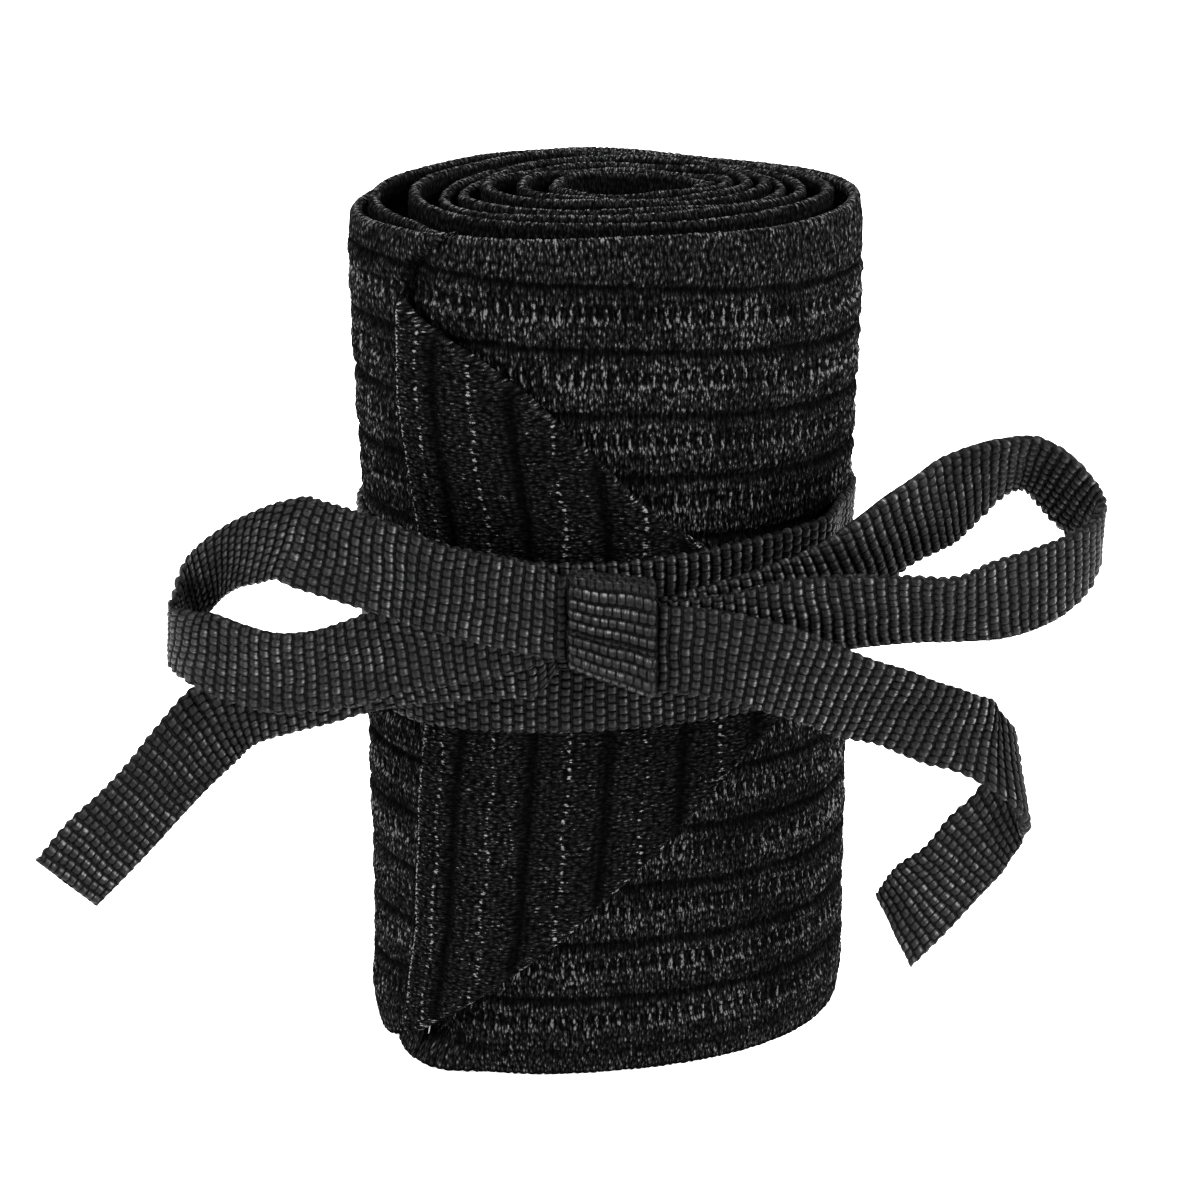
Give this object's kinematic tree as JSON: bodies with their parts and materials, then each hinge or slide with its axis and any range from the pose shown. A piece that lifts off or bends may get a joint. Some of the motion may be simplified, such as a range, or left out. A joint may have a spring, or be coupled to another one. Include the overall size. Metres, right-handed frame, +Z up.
{
  "type": "rolled elastic hand wrap",
  "caption": "Black ribbed elastic fabric band rolled up and standing on edge, with a mitred pointed end and a narrow woven tape tied round it in a bow.",
  "frame": {"origin": "centre of the bottom of the box of the roll, strap and knot", "axes": "+Z up along the roll's axis, -Y towards the knot and bow, +X to the right seen from the bow"},
  "size_m": [0.1182, 0.0554, 0.102],
  "materials": {
    "knit": "black ribbed elastic knit, slightly lustrous fibres",
    "knit_underside": "the same knit, folded out to show its other face",
    "tape": "black plain-woven twill tape, matt with bright thread crowns",
    "thread": "black sewing thread"
  },
  "bodies": {
    "roll": {"band_outer_lap": "knit", "band_second_lap": "knit", "band_middle_turns": "knit", "band_core_turns": "knit", "band_inner_hem": "knit", "hem_stitching": "thread", "band_point": "knit", "point_flap_upper": "knit_underside", "point_flap_lower": "knit_underside", "tie_anchor_stitching": "thread", "tie_strap_upper": "tape", "tie_strap_lower": "tape", "tie_knot_wrap": "tape", "tie_knot_core": "tape"},
    "left_loop": {"tie_loop_left": "tape"},
    "right_loop": {"tie_loop_right": "tape"},
    "left_tail": {"tie_tail_left": "tape"},
    "right_tail": {"tie_tail_right": "tape"}
  },
  "joints": [
    {"name": "left_loop_swing", "type": "hinge", "parent": "roll", "child": "left_loop", "pos_m": [-0.0052, -0.0262, 0.058], "axis": [0, 0, 1], "range_deg": [0, 40]},
    {"name": "right_tail_swing", "type": "hinge", "parent": "roll", "child": "right_tail", "pos_m": [0.0052, -0.0262, 0.057], "axis": [0, 0, -1], "range_deg": [0, 40]},
    {"name": "right_loop_lift", "type": "hinge", "parent": "roll", "child": "right_loop", "pos_m": [0.0052, -0.0244, 0.0632], "axis": [0, -1, 0], "range_deg": [0, 25]},
    {"name": "left_tail_droop", "type": "hinge", "parent": "roll", "child": "left_tail", "pos_m": [-0.0052, -0.0238, 0.0502], "axis": [0, -1, 0], "range_deg": [0, 30]}
  ]
}
